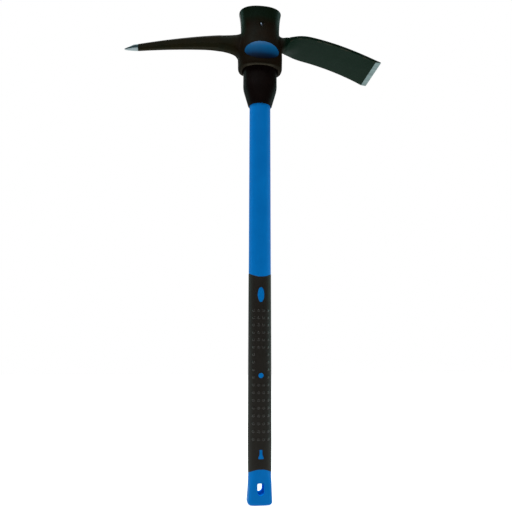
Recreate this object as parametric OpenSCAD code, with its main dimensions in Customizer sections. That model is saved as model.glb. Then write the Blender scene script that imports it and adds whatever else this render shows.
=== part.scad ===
// Pick mattock with a forged head, a jacketed fibreglass handle and a rubber grip.
// The handle stands on its butt along +Z, the adze blade points to +X and the pick to -X.
// All sizes are in millimetres and degrees.

/* [Overall] */
// Height from the butt to the top of the eye
overall_h = 915; // [910:1:930]

/* [Eye] */
// Width of the flared lip at the top of the eye
lip_w = 82.6; // [80:0.2:90]
// Width of the eye's waist, above the arms
waist_w = 75.2; // [74:0.2:78]
// Width of the collar, below the arms
collar_w = 86.6; // [84:0.2:92]
// Depth of the eye as a share of its width
eye_ratio = 0.7; // [0.68:0.01:0.76]
// Squareness of the eye's oval, where 2 is an ellipse
eye_square = 2.35; // [2:0.05:2.5]
// Height of the eye, from its lip to the low points of its collar
eye_h = 126.5; // [124:0.5:134]
// Rise of the collar's lower rim at the front and back
rim_rise = 3; // [1:0.5:8]
// Width of the bore at the lip
bore_top_w = 70; // [69:0.2:71]
// Width of the bore at the collar
bore_low_w = 66.4; // [65:0.2:67]
// Depth of the bore as a share of its width
bore_ratio = 0.66; // [0.62:0.01:0.67]

/* [Pick] */
// Reach of the pick's point from the centre line
pick_reach = 261; // [220:1:300]
// Height of the pick's top edge at its root
pick_root_z = 861.5; // [857:0.1:864]
// Fall of the top edge from the root to the point
pick_fall = 39.8; // [32:0.2:46]
// Height of the section where the ground point starts
pick_tip_h = 10.7; // [9:0.1:12]
// Half thickness of the section where the ground point starts
pick_tip_t = 4.6; // [4:0.1:6]
// Half thickness at the root
pick_root_t = 12.5; // [10:0.1:14]
// Length of the ground point
pick_ground = 25; // [15:1:40]

/* [Blade] */
// Reach of the cutting edge from the centre line
blade_reach = 231.6; // [200:0.2:260]
// Fall of the blade from its root to its cutting edge
blade_fall = 50.9; // [40:0.1:56]
// Width of the cutting edge
blade_edge_w = 89.8; // [88:0.2:110]
// Width where the rounded root ends
blade_root_w = 76; // [70:0.5:84]
// Thickness of the plate
blade_t = 5.4; // [4:0.1:7]
// Length of the ground bevel
blade_ground = 9; // [6:0.5:15]
// Width of the neck between the eye and the blade
neck_w = 27; // [22:0.5:32]
// Height of the neck
neck_h = 21; // [18:0.5:26]

/* [Handle] */
// Width of the shaft
shaft_w = 40.4; // [38:0.2:42]
// Depth of the shaft as a share of its width
shaft_ratio = 0.83; // [0.78:0.01:0.88]
// Flare of the butt towards the pick
butt_flare_pick = 2.4; // [0:0.2:4]
// Flare of the butt towards the blade
butt_flare_blade = 0.8; // [0:0.2:4]
// Squareness of the butt's foot, where 2 is an ellipse
butt_square = 4.5; // [2:0.1:5]
// Radius of the butt's lower edge
butt_round = 5; // [3:0.5:6]
// Width of the hanging slot
slot_w = 11.6; // [9:0.2:13]
// Height of the hanging slot
slot_h = 19; // [15:0.5:20]
// Height of the slot's lowest point above the butt
slot_z = 16; // [14:0.5:18]
// Width of the fibreglass core
core_w = 28; // [24:0.5:29]
// Depth of the fibreglass core
core_d = 22; // [18:0.5:23]

/* [Grip] */
// Height of the grip's lower edge at the sides
grip_low = 50.5; // [48:0.5:54]
// Height of the grip's upper edge at the sides
grip_high = 389; // [380:1:400]
// How far both edges draw in at the front and back
grip_dip = 6.8; // [0:0.2:9]
// Thickness of the rubber
grip_t = 2.4; // [1.8:0.1:2.6]
// How far the rubber stands proud of the jacket
grip_proud = 0.3; // [0.1:0.1:0.6]
// Height of the lowest row of studs
stud_low = 104.7; // [100:0.1:110]
// Distance between rows of studs
stud_pitch_z = 12.76; // [12:0.02:13]
// Distance between columns of studs
stud_pitch_x = 8.3; // [7.5:0.1:9]
// Rows of studs
stud_rows = 18; // [10:1:18]

/* [Sleeve] */
// Height of the sleeve's lower rim
sleeve_low = 716.5; // [710:0.5:724]
// Width of the sleeve's lower rim
sleeve_rim_w = 45.4; // [44:0.2:48]
// Width of the sleeve under the collar
sleeve_w = 65; // [64:0.2:66]
// Height where the taper ends
sleeve_shoulder = 752; // [744:1:758]

/* [Pin] */
// Diameter of the cross pin
pin_d = 6; // [5:0.1:7]
// Height of the cross pin
pin_z = 878.5; // [874:0.5:886]
// Diameter of the countersink round its ends
sink_d = 10.8; // [9:0.1:12]

/* [Hidden] */
$fn = 64;
sides = 48;

lip_r = lip_w / 2;
waist_r = waist_w / 2;
collar_r = collar_w / 2;
bore_top_r = bore_top_w / 2;
bore_low_r = bore_low_w / 2;
eye_low = overall_h - eye_h;
// The waist runs from the end of the shoulder to the start of the lip's flare
shoulder_low = overall_h - 83;
shoulder_high = overall_h - 57;
flare_low = overall_h - 41;
flare_power = 2.2;
flare_steps = 7;
lip_round = 1.2;
collar_round = 7;
mouth_flare = 3.2;
mouth_h = 9;
rim_bow_h = 40;
collar_lean = 0.5;
lip_break = 1.5;

// The pick's root blends into the eye with these radii
pick_under_start = 105;
pick_under_r = 160;
pick_low_fillet = 14;
pick_high_fillet = 12;
pick_side_fillet = 9;
pick_point = 0.7;
pick_taper = 0.081;
pick_tip_drop = 2.4;
pick_curve_start = 47;
pick_bend = 0.46;
pick_chamfer = 0.52;
arm_inner = 34;
wrap_len = 26;

// The blade's root is a rounded leaf that starts at the end of the neck
leaf_low = 48.2;
leaf_len = 46.8;
blade_root_z = 851.2;
neck_drop = 1.5;
blade_bend = 0.67;
blade_curve_start = 60;
blade_spread = 5.5;
blade_edge_t = 0.6;
blade_edge_corner = 0.2;
blade_flare_len = 34;
neck_fillet = 9.5;
neck_high_fillet = 6;
plate_start = 84;
plate_corner = blade_t * 0.2;
neck_corner = neck_h * 0.4;

shaft_r = shaft_w / 2;
jacket_top = sleeve_low + 40;
butt_flare_h = 46;
core_low = 44;
core_top = overall_h - 7;
sleeve_top = overall_h - 6;
fit_gap = 0.1;
pin_recess = 1.2;
sleeve_ease = 0.2;
sleeve_break = 0.8;
butt_waist = 0.5;
butt_waist_end = 100;
stud_w = 5.6;
stud_h = 4.4;
stud_rise = 0.8;
stud_columns = 4;
// The middle columns of studs leave a bare field round the round window
bare_low = 200;
bare_high = 250;

// Windows in the grip, where keys of the jacket show
oval_window_z = 350;
oval_window_w = 11.8;
oval_window_h = 27;
round_window_z = 210;
round_window_d = 9;
key_window_z = 72.5;
key_h = 15.5;
key_foot = 4;
key_low_w = 9.8;
key_high_w = 6.1;

// Closed skin through rings with the same number of points, capped at both ends.
module loft(rings) {
    n = len(rings[0]);
    last = len(rings) - 1;
    walls = [for (k = [0 : last - 1], i = [0 : n - 1]) let (j = (i + 1) % n)
        each [[k * n + i, (k + 1) * n + i, (k + 1) * n + j], [k * n + i, (k + 1) * n + j, k * n + j]]];
    first_cap = [for (i = [0 : n - 1]) i];
    last_cap = [for (i = [n - 1 : -1 : 0]) last * n + i];
    polyhedron([for (ring = rings) each ring], concat([first_cap, last_cap], walls));
}

// Closed skin through rings that come back to the first one, which makes a tube wall.
module tube_loft(rings) {
    n = len(rings[0]);
    m = len(rings);
    walls = [for (k = [0 : m - 1], i = [0 : n - 1]) let (j = (i + 1) % n, q = (k + 1) % m)
        each [[k * n + i, q * n + i, q * n + j], [k * n + i, q * n + j, k * n + j]]];
    polyhedron([for (ring = rings) each ring], walls);
}

// Level oval ring with half width a and half depth b, lifted by bow at its front and back.
// A square of 2 makes it an ellipse, and more than that fills out its corners.
function squared(v, square) = sign(v) * pow(abs(v), 2 / square);
function oval(a, b, z, shift = 0, bow = 0, square = 2) =
    [for (i = [0 : sides - 1]) let (t = 360 * i / sides)
        [shift + a * squared(cos(t), square), b * squared(sin(t), square), z + bow * pow(sin(t), 2)]];

// Distance that a point of an arm sits from the centre line: near its root an arm wraps round the oval eye.
function wrapped(d, y) =
    let (near = max(0, min(1, 1 - (d - collar_r) / wrap_len)),
         across = min(0.95, abs(y) / (collar_r * eye_ratio)))
    d - near * near * collar_r * (1 - pow(1 - pow(across, eye_square), 1 / eye_square));

// Upright ring across an arm at distance d, towards one side, with its four corners cut at a slant.
function cut_ring(side, d, low, high, t, cut) =
    let (m = (low + high) / 2, h = (high - low) / 2)
    [for (s = [[1, -cut], [1, cut], [cut, 1], [-cut, 1], [-1, cut], [-1, -cut], [-cut, -1], [cut, -1]])
        [side * wrapped(d, s[0] * t), s[0] * t, m + s[1] * h]];

// The same ring with its four corners rounded.
function round_ring(side, d, low, high, t, r) =
    [for (c = [[1, 1, 0], [-1, 1, 90], [-1, -1, 180], [1, -1, 270]], a = [0 : 30 : 90])
        let (y = c[0] * (t - r) + r * cos(c[2] + a))
        [side * wrapped(d, y), y, (c[1] > 0 ? high - r : low + r) + r * sin(c[2] + a)]];

// How far a fillet of radius r stands out at distance d from the wall that it runs into.
function fillet(r, d) = d >= r ? 0 : r - sqrt(r * r - pow(r - max(d, 0), 2));

// How far the collar's rim, and the wall just above it, is lifted at the front and back.
function rim_bow(z) = rim_rise * pow(max(0, 1 - max(0, z - eye_low) / rim_bow_h), 2);
function eye_ring(r, z) = oval(r, r * eye_ratio, z, 0, rim_bow(z), eye_square);
function bore_ring(r, z) = oval(r, r * bore_ratio, z, 0, rim_bow(z), eye_square);

// Outside of the eye from its lower rim to its lip, as half widths against heights.
function eye_outline() = concat(
    [for (a = [-90 : 18 : 0])
        [collar_r - collar_round + collar_round * cos(a), eye_low + collar_round * (1 + sin(a))]],
    [for (share = [0.5 : 0.25 : 1]) [collar_r + collar_lean * share, eye_low + rim_bow_h * share]],
    [[collar_r + collar_lean, shoulder_low], [waist_r + collar_lean / 2, shoulder_high]],
    [for (k = [0 : flare_steps]) let (u = k / flare_steps)
        [waist_r + (lip_r - waist_r) * pow(u, flare_power),
         flare_low + (overall_h - lip_round - flare_low) * u]],
    [for (a = [45, 90])
        [lip_r - lip_round + lip_round * cos(a), overall_h - lip_round + lip_round * sin(a)]]
);

// Half width of the bore at a height above its mouth.
function bore_r(z) = bore_low_r + (bore_top_r - bore_low_r) * (z - eye_low - mouth_h) / (eye_h - mouth_h);

// Inside of the eye, which opens out at its lower mouth.
function bore_outline() = concat(
    [for (k = [0 : 3]) let (u = k / 3)
        [bore_low_r + mouth_flare * pow(1 - u, 2), eye_low + mouth_h * u]],
    [for (z = [eye_low + rim_bow_h, overall_h - lip_break]) [bore_r(z), z]],
    [[bore_top_r + lip_break, overall_h]]
);

// Top and bottom edges of the pick at a distance from the centre line.
function pick_run(d) = max(0, (d - pick_curve_start) / (pick_reach - pick_curve_start));
function pick_edge(d) =
    pick_root_z - pick_fall * ((1 - pick_bend) * pick_run(d) + pick_bend * pow(pick_run(d), 2));
function pick_high(d) = pick_edge(d) + fillet(pick_high_fillet, d - waist_r);
function pick_low(d) =
    pick_edge(d) - pick_tip_h - pick_taper * (pick_reach - pick_ground - d)
    - pow(max(0, pick_under_start - d), 2) / (2 * pick_under_r)
    - fillet(pick_low_fillet, d - collar_r);
function pick_half(d) =
    pick_tip_t + (pick_root_t - pick_tip_t) * (pick_reach - pick_ground - d) / (pick_reach - pick_ground - collar_r)
    + fillet(pick_side_fillet, d - collar_r);

// Middle, half width and half thickness of the blade at a distance from the centre line.
function blade_run(d) = max(0, (d - blade_curve_start) / (blade_reach - blade_curve_start));
function blade_mid(d) =
    blade_root_z - neck_drop * neck_share(d)
    - blade_fall * ((1 - blade_bend) * blade_run(d) + blade_bend * pow(blade_run(d), 2));
function blade_side(d) =
    let (straight = blade_root_w / 2 + blade_spread * blade_run(d),
         flare = ((blade_edge_w - blade_root_w) / 2 - blade_spread)
             * pow(max(0, 1 - (blade_reach - d) / blade_flare_len), 2),
         leaf = d >= leaf_low + leaf_len ? 1 : sqrt(max(0, 1 - pow((leaf_low + leaf_len - d) / leaf_len, 2))))
    max(neck_w / 2 + fillet(neck_fillet, d - collar_r), (straight + flare) * leaf);
function neck_share(d) =
    let (u = max(0, min(1, (plate_start - d) / (plate_start - leaf_low))))
    u * u * (3 - 2 * u);
function blade_half(d) = blade_t / 2 + (neck_h - blade_t) / 2 * neck_share(d);
function blade_corner(d) = plate_corner + (neck_corner - plate_corner) * neck_share(d);

module eye_form() {
    inner = bore_low_r - mouth_flare;
    loft(concat(
        [oval(inner - mouth_flare, inner * bore_ratio, eye_low + rim_bow_h), eye_ring(inner, eye_low)],
        [for (p = eye_outline()) eye_ring(p[0], p[1])]));
}

module eye_bore() {
    mouth = bore_low_r + mouth_flare;
    loft(concat(
        [oval(mouth, mouth * bore_ratio, eye_low - rim_rise, 0, 0, eye_square)],
        [for (p = bore_outline()) bore_ring(p[0], p[1])],
        [bore_ring(bore_top_r + lip_break, overall_h + lip_break)]));
}

module pick_form() {
    ground_at = pick_reach - pick_ground;
    root = [for (a = [90 : -18 : 18]) collar_r + pick_low_fillet * (1 - sin(a))];
    stations = concat([arm_inner, waist_r, 0.5 * (waist_r + collar_r)], root, [60, 68, 77, 87, 97],
                      [for (d = [110 : 25 : ground_at - 12]) d], [ground_at]);
    tip_z = pick_edge(pick_reach) - pick_tip_drop;
    loft(concat(
        [cut_ring(-1, pick_reach, tip_z - pick_point, tip_z + pick_point, pick_point, pick_chamfer)],
        [for (k = [len(stations) - 1 : -1 : 0]) let (d = stations[k])
            cut_ring(-1, d, pick_low(d), pick_high(d), pick_half(d), pick_chamfer)]));
}

module blade_form() {
    ground_at = blade_reach - blade_ground;
    root = [for (a = [90 : -22.5 : 0]) collar_r + neck_fillet * (1 - sin(a))];
    leaf = [for (a = [32 : 9.5 : 90]) leaf_low + leaf_len * (1 - cos(a))];
    stations = concat([arm_inner, waist_r + 1, 0.5 * (waist_r + collar_r)], root, leaf, [for (d = [110 : 22 : ground_at - 10]) d], [ground_at]);
    edge_z = blade_mid(blade_reach) + blade_t / 2 - blade_edge_t;
    loft(concat(
        [for (d = stations)
            let (low = blade_mid(d) - blade_half(d) - fillet(neck_fillet, d - collar_r),
                 high = blade_mid(d) + blade_half(d) + fillet(neck_high_fillet, d - waist_r))
            round_ring(1, d, low, high, blade_side(d), blade_corner(d))],
        [round_ring(1, blade_reach, edge_z, edge_z + blade_edge_t, blade_edge_w / 2, blade_edge_corner)]));
}

// Countersunk hole through the front and back walls of the eye.
module pin_hole() {
    deep = waist_r * eye_ratio;
    translate([0, 0, pin_z])
        rotate([90, 0, 0]) {
            cylinder(d = pin_d, h = 4 * deep, center = true);
            for (turn = [0, 180])
                rotate([turn, 0, 0])
                    translate([0, 0, deep - 2])
                        cylinder(d1 = pin_d, d2 = pin_d + 2 * (sink_d - pin_d), h = sink_d - pin_d);
        }
}

module forged_head() {
    color("#26241f")
        difference() {
            union() {
                eye_form();
                pick_form();
                blade_form();
            }
            eye_bore();
            pin_hole();
        }
}

// Value that rises with v and rounds off into a limit, within k of it.
function ease_to(v, limit, k) =
    v <= limit - k ? v : v >= limit + k ? limit : limit - pow(limit + k - v, 2) / (4 * k);

// Share of the sleeve's taper that is done at a height.
function sleeve_share(z) = ease_to((z - sleeve_low) / (sleeve_shoulder - sleeve_low), 1, sleeve_ease);
function sleeve_oval(z, inset = 0) =
    let (s = sleeve_share(z), low = sleeve_rim_w / 2, top = sleeve_w / 2)
    oval(low + (top - low) * s - inset, low * shaft_ratio + (top * bore_ratio - low * shaft_ratio) * s - inset, z,
         0, 0, 2 + (eye_square - 2) * s);
function bore_oval(z, inset) =
    oval(bore_r(z) - inset, bore_r(z) * bore_ratio - inset, z, 0, 0, eye_square);

// Flare of the butt at a height, from 0 at its upper end to 1 at the foot.
function butt_share(z) = pow(max(0, 1 - z / butt_flare_h), flare_power);
function butt_squareness(z) = 2 + (butt_square - 2) * max(0, 1 - pow(z / butt_flare_h, 2));
function handle_half(z) =
    shaft_r - butt_waist * max(0, min(1, (butt_waist_end - z) / (butt_waist_end - butt_flare_h)));
// Ring of the handle's outside, grown or shrunk all round, and lifted at its front and back.
function handle_ring(z, grow = 0, bow = 0, foot = undef) =
    let (r = handle_half(z) + (butt_flare_pick + butt_flare_blade) / 2 * butt_share(z),
         shift = (butt_flare_blade - butt_flare_pick) / 2 * butt_share(z))
    oval(r + grow, r * shaft_ratio + grow, is_undef(foot) ? z : foot, shift, bow, butt_squareness(z));

module handle_form() {
    foot = [for (a = [0 : 22.5 : 90]) [butt_round * (1 - sin(a)), butt_round * (1 - cos(a))]];
    loft(concat(
        [for (f = foot) handle_ring(butt_round, -f[0], 0, f[1])],
        [for (k = [1 : 6]) handle_ring(butt_round + (butt_flare_h - butt_round) * k / 6)],
        [for (z = [butt_waist_end, jacket_top]) handle_ring(z)]));
}

module core_form(low, high) {
    translate([0, 0, low])
        scale([core_w / 2, core_d / 2, 1])
            cylinder(r = 1, h = high - low);
}

// Rubber wall between the recess in the jacket and the grip's outside.
module grip_wall(proud) {
    heights = [[grip_low, grip_dip], [butt_waist_end, 0], [grip_high, -grip_dip]];
    tube_loft(concat(
        [for (h = heights) handle_ring(h[0], proud, h[1])],
        [for (k = [2 : -1 : 0]) handle_ring(heights[k][0], -grip_t, heights[k][1])]));
}

// Shapes drawn on the front, taken straight through the handle.
module through() {
    rotate([90, 0, 0])
        linear_extrude(height = 2 * shaft_w, center = true)
            children();
}

module windows() {
    through() {
        translate([0, oval_window_z])
            scale([oval_window_w / 2, oval_window_h / 2])
                circle(r = 1);
        translate([0, round_window_z])
            circle(d = round_window_d);
        translate([0, key_window_z])
            polygon([[-key_low_w / 2, 0], [key_low_w / 2, 0], [key_low_w / 2, key_foot],
                     [key_high_w / 2, key_h], [-key_high_w / 2, key_h], [-key_low_w / 2, key_foot]]);
    }
}

// Eight-sided outline of one stud.
function stud_outline() = [for (a = [22.5 : 45 : 360]) [stud_w / 2 * cos(a), stud_h / 2 * sin(a)] / cos(22.5)];

module studs() {
    intersection() {
        grip_wall(grip_proud + stud_rise);
        through()
            for (row = [0 : stud_rows - 1], column = [0 : stud_columns - 1]) {
                x = (column - (stud_columns - 1) / 2) * stud_pitch_x;
                z = stud_low + row * stud_pitch_z;
                if (abs(x) > stud_pitch_x || z < bare_low || z > bare_high)
                    translate([x, z])
                        polygon(stud_outline());
            }
    }
}

module hanging_slot() {
    r = slot_w / 2;
    corner = 2;
    through()
        translate([0, slot_z]) {
            translate([0, r])
                circle(r = r);
            translate([-r, r])
                square([slot_w, slot_h - r - corner]);
            translate([corner - r, r])
                square([slot_w - 2 * corner, slot_h - r]);
            for (side = [-1, 1])
                translate([side * (r - corner), slot_h - corner])
                    circle(r = corner);
        }
}

module pin_shank(d) {
    translate([0, 0, pin_z])
        rotate([90, 0, 0])
            cylinder(d = d, h = lip_w, center = true);
}

module eye_sleeve() {
    taper = sleeve_shoulder - sleeve_low;
    eased = [for (k = [-2 : 2]) sleeve_low + taper * (1 + k * sleeve_ease / 2)];
    in_eye = eye_low + mouth_h;
    color("#1d1a18")
        difference() {
            loft(concat(
                [sleeve_oval(sleeve_low, sleeve_break), sleeve_oval(sleeve_low + sleeve_break)],
                [for (z = eased) sleeve_oval(z)],
                [bore_oval(in_eye, fit_gap), bore_oval(sleeve_top - 1, fit_gap), bore_oval(sleeve_top, 1)]));
            translate([0, 0, sleeve_low - 1])
                scale([1, shaft_ratio, 1])
                    cylinder(r = shaft_r, h = jacket_top - sleeve_low + 1);
            core_form(jacket_top - 1, overall_h);
            pin_shank(pin_d);
        }
}

module head_pin() {
    half = waist_r * eye_ratio - pin_recess;
    dome = 1.2;
    color("#b9bcbf")
        translate([0, 0, pin_z])
            rotate([90, 0, 0])
                rotate_extrude()
                    polygon([[0, -half], [pin_d / 2 - dome, -half], [pin_d / 2, dome - half],
                             [pin_d / 2, half - dome], [pin_d / 2 - dome, half], [0, half]]);
}

module fibreglass_core() {
    color("#d8cf9c")
        difference() {
            core_form(core_low, core_top);
            pin_shank(pin_d);
        }
}

module handle_jacket() {
    color("#0b63ad")
        difference() {
            handle_form();
            difference() {
                grip_wall(2 * grip_proud);
                windows();
            }
            core_form(core_low, jacket_top + 1);
            hanging_slot();
        }
}

module rubber_grip() {
    color("#24201d")
        difference() {
            union() {
                grip_wall(grip_proud);
                studs();
            }
            windows();
        }
}

forged_head();
eye_sleeve();
head_pin();
fibreglass_core();
handle_jacket();
rubber_grip();
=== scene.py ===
"""Looks of a pick mattock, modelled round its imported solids.

The handle stands on its butt along +Z, the adze blade points to +X, the pick to -X and the label to -Y.
Sizes are in millimetres, and the helpers turn them into metres.
"""

import math

import bmesh
import bpy
from mathutils import Matrix, Vector


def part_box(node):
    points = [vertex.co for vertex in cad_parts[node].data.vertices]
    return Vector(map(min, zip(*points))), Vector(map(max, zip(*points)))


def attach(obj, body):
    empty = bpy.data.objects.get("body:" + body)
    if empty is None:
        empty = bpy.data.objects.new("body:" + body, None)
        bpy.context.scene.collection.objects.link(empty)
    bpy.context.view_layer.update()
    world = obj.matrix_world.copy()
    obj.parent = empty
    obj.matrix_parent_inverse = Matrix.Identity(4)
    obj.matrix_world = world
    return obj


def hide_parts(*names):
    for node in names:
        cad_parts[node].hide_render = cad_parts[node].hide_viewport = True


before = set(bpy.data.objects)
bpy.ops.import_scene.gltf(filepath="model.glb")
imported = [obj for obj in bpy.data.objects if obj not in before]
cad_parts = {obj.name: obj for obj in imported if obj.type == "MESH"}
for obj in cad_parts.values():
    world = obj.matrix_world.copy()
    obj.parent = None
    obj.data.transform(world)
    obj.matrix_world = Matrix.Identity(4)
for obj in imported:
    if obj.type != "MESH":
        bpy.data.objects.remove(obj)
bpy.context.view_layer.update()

MM = 0.001

# Heights and reaches that the solids give
head_low, head_high = (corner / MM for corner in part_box("forged_head"))
sleeve_low, sleeve_high = (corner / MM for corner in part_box("eye_sleeve"))
_, jacket_high = (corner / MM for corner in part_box("handle_jacket"))
core_low, _ = (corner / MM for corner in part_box("fibreglass_core"))
LIP_Z = head_high.z
RIM_Z = head_low.z
PICK_POINT = -head_low.x
BLADE_EDGE = head_high.x
BLADE_HALF = head_high.y
SLEEVE_FOOT = sleeve_low.z
SLEEVE_TOP = sleeve_high.z
JACKET_TOP = jacket_high.z
CORE_FOOT = core_low.z

# Corners of the rings that pieces are drawn out of, and the squareness of a plain ellipse
HEAD_CORNERS = 32
SMOOTH_CORNERS = 96
PIN_CORNERS = 48
WINDOW_CORNERS = 48
STUD_CORNERS = 20
LABEL_CORNERS = 72
ELLIPSE = 2.0

# Points that are merged after a piece is drawn, and after a cut
MERGE = 0.01
SEAM_MERGE = 0.004

# Eye: its depth and its bore's depth as shares of the width, and half widths at the collar and the waist
EYE_RATIO = 0.70
BORE_RATIO = 0.66
EYE_SQUARE = 2.35
COLLAR_R = 43.3
WAIST_R = 37.6
RIM_RISE = 3.0
RIM_RISE_REACH = 40

# Half width and height of the eye, up its outside from the rim to the lip, and down its bore
EYE_OUTSIDE = ((36.4, RIM_Z), (38.6, RIM_Z + 0.1), (41.0, RIM_Z + 1.4), (42.7, RIM_Z + 3.9),
               (COLLAR_R, RIM_Z + 7.4), (43.4, 802), (43.6, 810), (43.7, 817), (43.8, 826), (42.9, 837),
               (40.2, 850), (38.4, 866), (38.1, 872), (38.2, 878), (38.5, 885), (39.0, 892), (39.6, 899),
               (40.4, 905.5), (41.2, 910.5), (41.8, 913.2), (42.0, 914.4), (41.7, 914.9), (41.0, LIP_Z))
EYE_BORE = ((37.0, LIP_Z), (36.3, LIP_Z - 0.3), (35.4, 913.4), (34.9, 905), (34.3, 870), (33.8, 830),
            (33.4, 806), (33.4, RIM_Z + 9), (34.1, RIM_Z + 4.5), (35.0, RIM_Z + 1.4), (35.6, RIM_Z + 0.3))

# Faces of the eye's cheeks that the arms are drawn out of: half width, and heights on each side
CHEEK_HALF = 12
PICK_CHEEK = (817, 860)
BLADE_CHEEK = (837, 860)

# Pick: where its taper and its painted part end, its upper edge, and its end's half thickness and height
PICK_TAPER_END = PICK_POINT - 25
PICK_GROUND = PICK_POINT - 26.5
PICK_ROOT = 47
PICK_ROOT_Z = 861.5
PICK_FALL = 39.8
PICK_END_HALF = 4.6
PICK_SPREAD = 7.9
PICK_END_HEIGHT = 10.7
PICK_DEEPENING = 0.081
PICK_BELLY_END = 105
PICK_BELLY_CURVE = 320
PICK_CORNER = 0.52
PICK_RIDGES = 72

# Fillets of the pick's sides, foot and top, where it runs into the eye
PICK_FILLETS = (9, 14, 12)

# What the pick's sides, foot and top are drawn wider by, because the subdivision draws them in
PICK_SWELL = (0.4, 0.8, 0.4)
PICK_CROWN = 1.4
PICK_CROWN_RUN = 120

# First sections of the pick: reach, half thickness, low and high edge, corner, kept roundness of the cheek
PICK_NECK = ((45.2, 13.6, 820.0, 864.2, 0.85, 0.6),
             (47.5, 13.2, 823.2, 863.4, 0.70, 0.5),
             (51.0, 12.7, 825.2, 863.2, 0.58, 0.3))
PICK_REACHES = (57, 64, 74, 87, 102, 120, 142, 166, 190, 214, PICK_GROUND - 2, PICK_GROUND)

# Ground point: distance from its end, width and height as shares of the pick's, and drop
POINT_SECTIONS = ((17, 0.88, 0.86, 1.4), (8, 0.60, 0.52, 3.9), (2.2, 0.32, 0.28, 5.3), (0, 0.16, 0.12, 5.6))

# Blade: its middle's height and fall, the reach of its spine and of its leaf, its flare and its bevel
BLADE_ROOT = 60
BLADE_ROOT_Z = 851.3
BLADE_ROOT_DIP = 0.6
BLADE_FALL = 50.9
SPINE_START = 48.2
SPINE_END = 84
SPINE_HALF = 2.8
SPINE_SWELL = 9.2
LEAF_END = 93.9
LEAF_RUN = 48.5
LEAF_HALF = 38.8
LEAF_SPREAD = 4.7
FLARE_RUN = 34
BLADE_SIDE = 2.7
BEVEL = 10.8
EDGE_T = 0.6
ROOT_RIDGES = 56
PLATE_RIDGES = 62

# First sections of the blade, as for the pick, and then reach and half thickness at the sides
BLADE_NECK = ((45.2, 14.2, 837.4, 863.6, 0.80, 0.6),
              (47.4, 14.8, 839.4, 863.0, 0.74, 0.4),
              (50.0, 17.4, 840.6, 863.0, 0.78, 0.0))
BLADE_SIDES = [(52.6, 8.6), (55.5, 5.4), (59, 3.6), (64, 2.9), (70, 2.8)]
BLADE_SIDES += [(reach, BLADE_SIDE) for reach in (78, 88, 100, 120, 145, 170, 195, 212, BLADE_EDGE - BEVEL)]

# Cross pin and its countersinks
PIN_Z = 878.5
PIN_R = 3.0
PIN_DOME = 1.1
PIN_INSET = 1.2
SINK_R = 5.4
SINK_PROUD = 0.2

# Sleeve: half widths at its foot, under the head and at its top, and the rounded shoulder of its skirt
SKIRT_R = 22.7
SLEEVE_R = 32.8
PLUG_R = 34.7
SHOULDER_Z = 752.0
SHOULDER_EASE = 0.2

# Handle
SHAFT_R = 20.2
SHAFT_RATIO = 0.83
BUTT_ROUND = 5.0
BUTT_FLARE_H = 46.0
BUTT_FLARE_POWER = 2.2
BUTT_FLARE_PICK = 2.4
BUTT_FLARE_BLADE = 0.8
BUTT_SQUARE = 4.5
BUTT_WAIST = 0.5
BUTT_WAIST_END = 100.0
JACKET_RINGS = (8, 12, 17, 23, 30, 38, 46, 60, 80, BUTT_WAIST_END, 250, 389, 560)
CORE_HALF = (14.0, 11.0)

# Hanging slot
SLOT_HALF = 5.8
SLOT_LOW = 16
SLOT_HIGH = 35
SLOT_CORNER = 2
SLOT_MOUTH = 0.7

# Grip
GRIP_LOW = 50.5
GRIP_HIGH = 389.0
GRIP_DIP = 6.8
GRIP_T = 2.4
GRIP_PROUD = 0.3
GRIP_EDGE = 0.6
RECESS_EDGE = 0.01
GRIP_OUTER_RINGS = (60, 70, 80, 90, 100, 180, 240, 300)
GRIP_INNER_RINGS = (GRIP_HIGH, 300, 240, 180, 100, 80, 60, GRIP_LOW)

# Windows of the grip: half width, half height and middle of the oval and round ones, and the bell's sides
OVAL_WINDOW = (5.9, 13.5, 350)
ROUND_WINDOW = (4.5, 4.5, 210)
BELL_CROWN = 88.4
BELL_FOOT = 73.4
BELL_SIDES = ((2.5, 81.0), (2.9, 79.4), (3.7, 77.7), (4.5, 76.0))
BELL_FOOT_HALF = 4.8
BELL_CORNER = 1.3
KEY_GAP = 0.12

# Studs: half width and height, the share of them at each height of the dome, and the rows
STUD_HALF = (2.8, 2.2)
STUD_DOME = ((1.0, -0.8), (1.0, 0.15), (0.95, 0.36), (0.84, 0.58), (0.66, 0.78), (0.42, 0.92), (0.16, 0.98))
STUD_ROWS = 18
STUD_COLUMNS = 4
STUD_FOOT = 104.7
STUD_RISE = 12.76
STUD_STEP = 8.3
BARE_HALF = 8
BARE_FIELD = (200, 250)

# Label
LABEL_HALF = (33.2, 18.2)
LABEL_X = 0.4
LABEL_START_Y = -60
LABEL_Z = 820
LABEL_RINGS = (0.04, 0.2, 0.36, 0.52, 0.68, 0.84, 0.95, 1.0)
LABEL_T = 0.2
LABEL_GAP = 0.05
LABEL_PRINT_HALF = 19


# Ways of working

def deselect():
    """Leaves edit mode and deselects every object."""
    if bpy.context.mode != "OBJECT":
        bpy.ops.object.mode_set(mode="OBJECT")
    bpy.ops.object.select_all(action="DESELECT")


def take(piece):
    """Makes a piece the only selected object."""
    deselect()
    piece.select_set(True)
    bpy.context.view_layer.objects.active = piece


def edit(piece):
    take(piece)
    bpy.ops.object.mode_set(mode="EDIT")


def edited_mesh():
    return bmesh.from_edit_mesh(bpy.context.edit_object.data)


def show_choice(mesh):
    mesh.select_flush_mode()
    bmesh.update_edit_mesh(bpy.context.edit_object.data)


def choose_points(test):
    """Selects the points whose place, in millimetres, passes the test."""
    bpy.ops.mesh.select_mode(type="VERT")
    bpy.ops.mesh.select_all(action="DESELECT")
    mesh = edited_mesh()
    for point in mesh.verts:
        point.select = test(point.co / MM)
    show_choice(mesh)


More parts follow.
